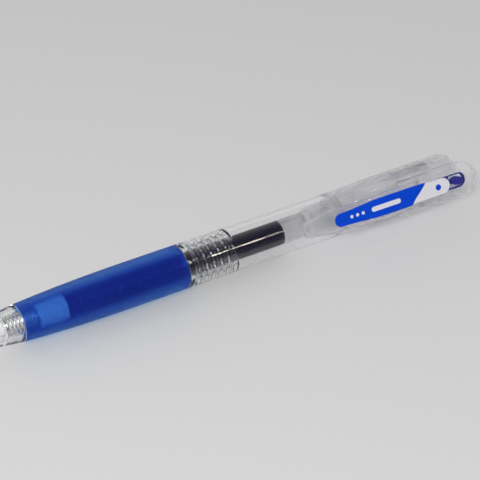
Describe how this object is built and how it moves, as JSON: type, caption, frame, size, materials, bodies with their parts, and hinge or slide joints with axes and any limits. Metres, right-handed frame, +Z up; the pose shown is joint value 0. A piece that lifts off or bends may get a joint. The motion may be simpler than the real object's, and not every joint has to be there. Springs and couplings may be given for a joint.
{
  "type": "retractable ballpoint pen",
  "caption": "Clear-barrel retractable pen with a translucent rubber grip and a sliding clip that works as the button.",
  "frame": {"origin": "bottom centre of the bounding box, on the surface that the pen lies on", "axes": "+X along the pen from the nose to the rear end, +Z up, the clip leaning towards -Y"},
  "size_m": [0.142, 0.0156, 0.0133],
  "materials": {
    "clear_plastic": "polished clear moulding",
    "tube_plastic": "clear extruded tube",
    "grip_rubber": "translucent blue, satin",
    "spring_steel": "drawn bright wire",
    "tip_steel": "turned bright",
    "white_plastic": "smooth white",
    "ink": "wet, blue-black",
    "follower_gel": "clear grease",
    "blue_print": "glossy blue print",
    "white_print": "glossy white print",
    "blue_plastic": "moulded blue"
  },
  "bodies": {
    "barrel": {"rear_barrel": "clear_plastic", "rear_housing": "clear_plastic"},
    "front_section": {"front_barrel": "clear_plastic", "grip_sleeve": "grip_rubber", "return_spring": "spring_steel"},
    "button": {"clip_head": "clear_plastic", "label_white": "white_print", "colour_insert": "blue_plastic", "push_cam": "clear_plastic"},
    "clip": {"clip_arm": "clear_plastic", "label_blue": "blue_print"},
    "refill": {"refill_tube": "tube_plastic", "ink_column": "ink", "ink_follower": "follower_gel", "tip_holder": "white_plastic", "tip_metal": "tip_steel", "tip_ball": "tip_steel"},
    "rotor": {"rotor_cam": "clear_plastic"}
  },
  "joints": [
    {"name": "button_slide", "type": "slide", "parent": "barrel", "child": "button", "axis": [-1, 0, 0], "range_m": [0, 0.0054], "stiffness_N_per_m": 400, "springref_m": -0.004},
    {"name": "refill_slide", "type": "slide", "parent": "barrel", "child": "refill", "axis": [-1, 0, 0], "range_m": [0, 0.0054], "deforming": ["return_spring"]},
    {"name": "rotor_turn", "type": "hinge", "parent": "refill", "child": "rotor", "pos_m": [0.04, 0.0023, 0.0055], "axis": [1, 0, 0], "range_deg": [0, 22.5]},
    {"name": "front_slide", "type": "slide", "parent": "barrel", "child": "front_section", "axis": [-1, 0, 0], "range_m": [0, 0.016]},
    {"name": "clip_flex", "type": "hinge", "parent": "button", "child": "clip", "pos_m": [0.05418, -0.00492, 0.00882], "axis": [0, 0.418, 0.9084], "range_deg": [0, 5], "stiffness_Nm_per_rad": 2}
  ],
  "couplings": [
    {"joint": "refill_slide", "follows": "button_slide", "ratio": 1},
    {"joint": "rotor_turn", "follows": "button_slide", "rad_per_m": 72.7}
  ]
}
